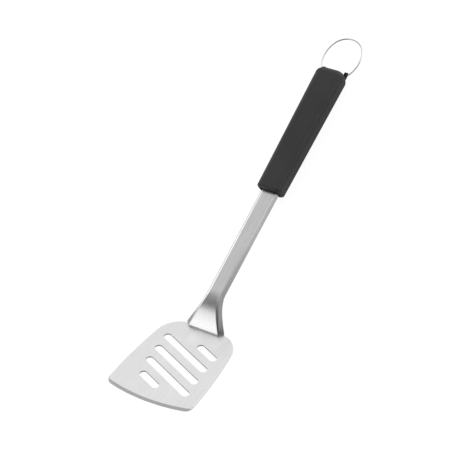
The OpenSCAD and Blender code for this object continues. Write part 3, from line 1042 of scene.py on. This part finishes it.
@dataclass
class Grip:
    """The soft skin with its mouth, and the hard core with its two ears.

    A rounding takes no more than the share fullest of half the grip's width or height. The rings that
    stand square start at side_from, and the last one lies butt_gap before the end.
    """

    frames: PartFrames
    front_w: float = 26.6
    butt_w: float = 31.4
    edge_r: float = 5.6
    front_edge_r: float = 2.6
    front_lean: float = 3.2
    butt_corner_r: float = 9.0
    skin_t: float = 2.4
    mouth_depth: float = 2.4
    mouth_gap: float = 1.2
    mouth_edge_r: float = 0.5
    mouth_corner_r: float = 1.6
    floor_gap: float = 0.4
    side_from: float = 10.0
    butt_gap: float = 1e-3
    fullest: float = 0.98
    ear_d: float = 4.0
    ear_w: float = 3.2
    ear_root: float = 1.0
    ear_edge_r: float = 0.3
    ear_segments: int = 40
    bore_d: float = 1.62
    bore_segments: int = 28
    core_edge_r: float = 0.4
    steps: int = 10
    mouth_steps: int = 4
    front_steps: int = 10
    side_steps: int = 12
    butt_steps: int = 20
    rubber: Moulded = field(default_factory=lambda: Moulded(
        "soft_black", (0.028, 0.028, 0.0285), 0.56, grain_size=0.5, grain_depth=0.13, bloom=0.4,
        gloss=0.42))
    plastic: Moulded = field(default_factory=lambda: Moulded(
        "hard_black", (0.004, 0.004, 0.004), 0.45, grain_size=0.8, grain_depth=0.02, bloom=0.2,
        gloss=0.15))

    def half_width(self, s: float) -> float:
        """Half of the grip's width at a distance from its front."""
        return (self.front_w + (self.butt_w - self.front_w) * s / self.frames.grip_len) / 2

    def ring(self, outline: Sequence[Vector], s: float, leaning: bool) -> list[Vector]:
        """Stands an outline up across the grip.

        Args:
            outline: Points across and up.
            s: Distance from the grip's front, at the top of the grip.
            leaning: Follows the lean of the front face.

        Returns:
            The ring's points, in the grip frame.
        """
        lean = self.front_lean / self.frames.grip_t if leaning else 0.0
        return [Vector((p.x, s + lean * (self.frames.grip_rise - p.y), p.y)) for p in outline]

    def around(self, s: float) -> list[Vector]:
        """Ring of the skin's outside.

        Args:
            s: Distance from the grip's front.

        Returns:
            The ring's points.
        """
        frames = self.frames
        front = rounding(self.front_edge_r, s)
        left = frames.grip_len - s
        half_w = self.half_width(s) - front - rounding(self.butt_corner_r, left)
        half_h = frames.grip_t / 2 - front - rounding(frames.butt_round_r, left)
        radius = min(self.edge_r, half_h * self.fullest, half_w * self.fullest)
        middle = frames.grip_rise - frames.grip_t / 2
        outline = rounded([(half_w, middle + half_h, radius), (-half_w, middle + half_h, radius),
                           (-half_w, middle - half_h, radius), (half_w, middle - half_h, radius)],
                          self.steps)
        return self.ring(outline, s, leaning=s <= self.front_edge_r)

    def mouth(self, grow: float, s: float, leaning: bool = True) -> list[Vector]:
        """Ring of the mouth.

        Args:
            grow: How far it lies outside the mouth's own outline.
            s: Distance behind the front face.
            leaning: Follows the lean of the front face.

        Returns:
            The ring's points.
        """
        half = self.frames.shank_w / 2 + self.mouth_gap + grow
        high = self.mouth_gap + grow
        low = -self.frames.shank_h - self.mouth_gap - grow
        top_r, low_r = self.mouth_corner_r + grow, self.mouth_gap + grow
        outline = rounded([(half, high, top_r), (-half, high, top_r), (-half, low, low_r),
                           (half, low, low_r)], self.steps)
        return self.ring(outline, s, leaning)

    def build_skin(self) -> bpy.types.Object:
        """Builds the soft skin from the bottom of its mouth round to its butt.

        Returns:
            The object.
        """
        draft = Draft()
        length = self.frames.grip_len
        r = self.mouth_edge_r
        side_end = length - self.butt_corner_r
        floor = self.front_lean + self.mouth_depth + self.floor_gap
        rings = [self.mouth(0, floor, leaning=False)]
        for i in range(self.mouth_steps + 1):
            a = math.radians(90 - 90 * i / self.mouth_steps)
            rings.append(self.mouth(r * (1 - math.sin(a)), r * (1 - math.cos(a))))
        for i in range(self.front_steps + 1):
            a = math.radians(90 * i / self.front_steps)
            rings.append(self.around(self.front_edge_r * (1 - math.cos(a))))
        for i in range(self.side_steps):
            rings.append(self.around(self.side_from + (side_end - self.side_from) * i / self.side_steps))
        for i in range(self.butt_steps):
            a = math.radians(90 * i / self.butt_steps)
            rings.append(self.around(length - self.butt_corner_r * (1 - math.sin(a))))
        rings.append(self.around(length - self.butt_gap))
        draft.loft(rings)
        return draft.piece("grip_soft_skin", self.frames.grip_to_row(), [self.rubber], Body.SPATULA,
                           ["grip_skin"], smooth=50.0)

    def ear(self, side: int) -> Draft:
        """One ear: a bored tongue that runs from the core out through the butt's corner.

        Args:
            side: 1 for the right ear, -1 for the left one.

        Returns:
            The ear's mesh, in the grip frame.
        """
        draft = Draft()
        frames = self.frames
        back = frames.swing.x - (frames.grip_len - self.butt_corner_r - self.ear_root)
        verts = draft.stadium(back + self.ear_d, self.ear_d, self.ear_segments)
        bmesh.ops.translate(draft.bm, verts=verts, vec=(-back / 2, 0, 0))
        bmesh.ops.create_circle(draft.bm, segments=self.bore_segments, radius=self.bore_d / 2)
        draft.plate(self.ear_w)
        draft.bevel(self.ear_edge_r, least=50.0, segments=3)
        onto = Matrix(((0, 0, 1, side * (frames.ear_span - self.ear_w) / 2 - self.ear_w / 2),
                       (1, 0, 0, frames.swing.x), (0, 1, 0, frames.swing.y), (0, 0, 0, 1)))
        bmesh.ops.transform(draft.bm, matrix=onto, verts=draft.bm.verts[:])
        return draft

    def build_core(self) -> bpy.types.Object:
        """Builds the hard core: its block and its two ears.

        Returns:
            The object.
        """
        frames = self.frames
        draft = Draft()
        front = self.front_lean + self.mouth_depth
        end = frames.grip_len - self.butt_corner_r
        block = bmesh.ops.create_cube(draft.bm, size=2.0)["verts"]
        middle = frames.grip_rise - frames.grip_t / 2
        for vert in block:
            s = front if vert.co.y < 0 else end
            vert.co = Vector((vert.co.x * (self.half_width(s) - self.skin_t), s,
                              middle + vert.co.z * (frames.grip_t / 2 - self.skin_t)))
        draft.bevel(self.core_edge_r)
        for side in (-1, 1):
            ear = self.ear(side)
            part = bpy.data.meshes.new("ear")
            ear.bm.to_mesh(part)
            ear.bm.free()
            draft.bm.from_mesh(part)
            bpy.data.meshes.remove(part)
        return draft.piece("grip_hard_core", frames.grip_to_row(), [self.plastic], Body.SPATULA,
                           ["grip_core"], smooth=40.0)


@dataclass
class HangingLoop:
    """The bent wire, with its ends turned into the ears.

    The sizes are those of the wire's middle line. Its three arcs are the turn beside the ear, the side
    and half of the crown.
    """

    frames: PartFrames
    width: float = 39.5
    side_r: float = 33.0
    bend_r: float = 1.5
    tail: float = 2.4
    side_play: float = 0.3
    round_segments: int = 24
    arc_steps: tuple[int, int, int] = (14, 40, 36)
    finish: Steel = field(default_factory=lambda: Steel(
        "drawn_wire", (0.72, 0.72, 0.73), 0.26, grain=Grain.BLASTED, grain_size=0.3, grain_depth=0.006,
        shine_spread=0.08, scratches=0.3))

    def build(self) -> bpy.types.Object:
        """Builds the wire by spinning its round section along one half, then mirroring it.

        Returns:
            The object.
        """
        frames = self.frames
        draft = Draft()
        bm = draft.bm
        bend_x = frames.ear_span / 2 + self.side_play
        out = math.degrees(math.asin((bend_x + self.side_r - self.width / 2) / (self.side_r - self.bend_r)))
        side = Vector((self.width / 2 - self.side_r,
                       self.bend_r + (self.side_r - self.bend_r) * math.cos(math.radians(out))))
        left = self.side_r - frames.loop_reach
        crown_y = (side.length_squared - left * left) / (2 * (left + side.y))
        crown_from = heading(Vector((0, crown_y)) - side)
        upright = Matrix.Rotation(math.pi / 2, 4, "Y")
        bmesh.ops.create_circle(
            bm, cap_ends=True, segments=self.round_segments, radius=frames.wire_d / 2,
            matrix=Matrix.Translation((frames.ear_span / 2 - self.tail, 0, 0)) @ upright)
        drawn = bmesh.ops.extrude_edge_only(bm, edges=bm.edges[:])["geom"]
        bmesh.ops.translate(bm, verts=only(drawn, bmesh.types.BMVert),
                            vec=(self.tail + self.side_play, 0, 0))
        ring = only(drawn, bmesh.types.BMEdge)
        arcs = ((Vector((bend_x, self.bend_r)), out), (side, crown_from - out + 90),
                (Vector((0, crown_y)), 90 - crown_from))
        for (middle, degrees), steps in zip(arcs, self.arc_steps):
            spun = bmesh.ops.spin(bm, geom=ring, cent=(middle.x, middle.y, 0), axis=(0, 0, 1),
                                  dvec=(0, 0, 0), angle=math.radians(degrees), steps=steps,
                                  use_duplicate=False)
            ring = only(spun["geom_last"], bmesh.types.BMEdge)
        bmesh.ops.remove_doubles(bm, verts=bm.verts[:], dist=MERGE_MM)
        bmesh.ops.mirror(bm, geom=bm.verts[:] + bm.edges[:] + bm.faces[:], axis="X",
                         merge_dist=10 * MERGE_MM)
        place = frames.grip_to_row() @ Matrix.Translation((0, frames.swing.x, frames.swing.y))
        return draft.piece("loop_wire", place, [self.finish], Body.LOOP,
                           ["hanging_loop"], smooth=50.0)


@dataclass
class Pins:
    """The two hidden pins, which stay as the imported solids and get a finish."""

    finish: Steel = field(default_factory=lambda: Steel(
        "pin_plain", (0.70, 0.70, 0.71), 0.35, grain=Grain.BLASTED, grain_size=0.4))

    def dress(self, nodes: dict[str, bpy.types.Object]) -> None:
        """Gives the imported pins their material.

        Args:
            nodes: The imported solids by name.
        """
        material = self.finish.material()
        for name in ("front_pin", "rear_pin"):
            nodes[name].data.materials.clear()
            nodes[name].data.materials.append(material)
            LOG.info("%s dressed", name)


@dataclass(frozen=True)
class Card:
    """A soft round card or flag in the room, full out to one radius in degrees and gone at another."""

    direction: tuple[float, float, float]
    inner: float
    outer: float
    strength: float

    def seen(self, kit: ShaderKit, way: Wire) -> Wire:
        """Works out how much of the card is seen in a direction.

        Args:
            kit: The world's node kit.
            way: The direction that is looked in.

        Returns:
            The card's strength inside its inner radius, which fades to 0 at its outer one.
        """
        facing = kit.wire(kit.node("ShaderNodeVectorMath", {"operation": "DOT_PRODUCT"}, s0=way,
                                   s1=tuple(Vector(self.direction).normalized())), "Value")
        return kit.wire(kit.node("ShaderNodeMapRange", {"interpolation_type": "SMOOTHSTEP"}, Value=facing,
                                 From_Min=math.cos(math.radians(self.outer)),
                                 From_Max=math.cos(math.radians(self.inner)), To_Min=0.0,
                                 To_Max=self.strength))


@dataclass
class Studio:
    """Pale floor, soft light and the photograph's view.

    The eye and its three directions are in the blade frame. The walls give the room's brightness by
    height, from level to straight up.
    """

    frames: PartFrames
    lens_px: float = 1800.0
    image_px: float = 450.0
    sensor_mm: float = 36.0
    sight_m: float = 20.0
    eye: tuple[float, float, float] = (729.409, -982.347, 1155.465)
    right: tuple[float, float, float] = (0.86048, 0.507362, -0.046456)
    down: tuple[float, float, float] = (0.281939, -0.550136, -0.786041)
    ahead: tuple[float, float, float] = (-0.424365, 0.663275, -0.616426)
    walls: tuple[tuple[float, float], ...] = (
        (0.0, 1.0), (0.35, 0.98), (0.60, 0.76), (0.82, 0.66), (1.0, 0.62))
    floor_size: float = 6.0
    floor_tone: float = 0.6
    shadow_tone: float = 0.22
    floor_glow: float = 0.91
    floor_in_metal: float = 0.36
    right_range: tuple[float, float] = (0.0, 0.6)
    right_share: float = 0.92
    front_range: tuple[float, float] = (-0.5, -0.1)
    front_share: float = 0.25
    lamp_place: tuple[float, float, float] = (-2.2, 0.36, 0.82)
    lamp_size: float = 1.2
    lamp_power: float = 3.0
    cards: tuple[Card, ...] = (Card((-0.45, -0.80, 0.40), 2.0, 41.0, 1.15),
                               Card((0.50, 0.84, 0.24), 8.0, 30.0, 2.2))
    flags: tuple[Card, ...] = (Card((-0.43, -0.32, 0.84), 15.0, 38.0, 0.62),
                               Card((0.45, -0.35, 0.82), 18.0, 42.0, 0.62),
                               Card((0.90, -0.22, 0.25), 10.0, 34.0, 0.50),
                               Card((0.93, 0.33, 0.05), 10.0, 34.0, 0.42))

    def camera(self) -> None:
        """Sets the camera that was fitted to the photograph, given in the blade frame."""
        data = bpy.data.cameras.new("view")
        data.sensor_width = self.sensor_mm
        data.lens = self.lens_px / self.image_px * self.sensor_mm
        data.clip_end = self.sight_m
        made = add_object("view", data)
        place = self.frames.blade_to_row()
        axes = Matrix((Vector(self.right), -Vector(self.down), -Vector(self.ahead))).transposed()
        turned = place.to_3x3() @ axes
        turned = Matrix([row.normalized() for row in turned.transposed()]).transposed()
        made.matrix_world = Matrix.Translation(place @ Vector(self.eye)) @ turned.to_4x4()
        bpy.context.scene.camera = made

    def floor(self) -> None:
        """Lays the floor, which the camera sees as white with the part's shadow on it."""
        bm = bmesh.new()
        bmesh.ops.create_grid(bm, x_segments=1, y_segments=1, size=self.floor_size)
        mesh = bpy.data.meshes.new("floor")
        bm.to_mesh(mesh)
        bm.free()
        made = add_object("floor", mesh)
        material = bpy.data.materials.new("pale_floor")
        material.use_nodes = True
        kit = ShaderKit(material.node_tree)
        path = kit.node("ShaderNodeLightPath")
        seen = kit.wire(path, "Is Camera Ray") + kit.wire(path, "Is Glossy Ray") * self.floor_in_metal
        plain = kit.node("ShaderNodeBsdfDiffuse", None, Color=(self.floor_tone,) * 3)
        shaded = kit.node("ShaderNodeBsdfDiffuse", None, Color=(self.shadow_tone,) * 3)
        glow = kit.node("ShaderNodeEmission", None, Color=(1.0, 1.0, 1.0), Strength=self.floor_glow)
        white = kit.node("ShaderNodeAddShader", None, s0=kit.wire(shaded), s1=kit.wire(glow))
        mixed = kit.node("ShaderNodeMixShader", None, s0=seen, s1=kit.wire(plain), s2=kit.wire(white))
        kit.node("ShaderNodeOutputMaterial", None, Surface=kit.wire(mixed))
        mesh.materials.append(material)

    def world(self) -> None:
        """Lights the scene with a room: bright low walls, a dim right and front, flags and cards."""
        world = bpy.data.worlds.new("room")
        bpy.context.scene.world = world
        world.use_nodes = True
        kit = ShaderKit(world.node_tree)
        way = kit.wire(kit.node("ShaderNodeTexCoord"), "Generated")
        parts = kit.node("ShaderNodeSeparateXYZ", None, Vector=way)
        light = kit.wire(kit.node("ShaderNodeValToRGB", {"stops": self.walls}, s0=kit.wire(parts, "Z")))
        light = light * kit.spread(kit.wire(parts, "X"), *self.right_range, 1.0, self.right_share)
        light = light * kit.spread(kit.wire(parts, "Y"), *self.front_range, self.front_share, 1.0)
        for flag in self.flags:
            light = light * (1.0 - flag.seen(kit, way))
        for card in self.cards:
            light = light + card.seen(kit, way)
        lit = kit.node("ShaderNodeBackground", None, Color=(1.0, 1.0, 1.0), Strength=light)
        white = kit.node("ShaderNodeBackground", None, Color=(1.0, 1.0, 1.0), Strength=1.0)
        seen = kit.wire(kit.node("ShaderNodeLightPath"), "Is Camera Ray")
        mixed = kit.node("ShaderNodeMixShader", None, s0=seen, s1=kit.wire(lit), s2=kit.wire(white))
        kit.node("ShaderNodeOutputWorld", None, Surface=kit.wire(mixed))

    def softbox(self, name: str, place: tuple[float, float, float], size: float, power: float) -> None:
        """Hangs a square soft light that faces the part.

        Args:
            name: Name of the lamp.
            place: Its place in metres.
            size: Side of the square in metres.
            power: Power in watts.
        """
        data = bpy.data.lights.new(name, "AREA")
        data.size = size
        data.energy = power
        made = add_object(name, data)
        facing = Vector(place).to_track_quat("Z", "Y").to_matrix().to_4x4()
        made.matrix_world = Matrix.Translation(place) @ facing

    def build(self) -> None:
        """Sets floor, light and camera, and the plain view transform."""
        self.floor()
        self.world()
        self.softbox("left_box", self.lamp_place, self.lamp_size, self.lamp_power)
        self.camera()
        bpy.context.scene.view_settings.view_transform = "Standard"


def main() -> None:
    """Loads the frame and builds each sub-assembly."""
    logging.basicConfig(level=logging.INFO, format="%(name)s %(message)s")
    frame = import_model()
    frames = PartFrames()
    Blade(frames).build()
    Shank(frames).build()
    grip = Grip(frames)
    grip.build_core()
    grip.build_skin()
    HangingLoop(frames).build()
    Pins().dress(frame["nodes"])
    Studio(frames).build()


if __name__ == "__main__":
    main()
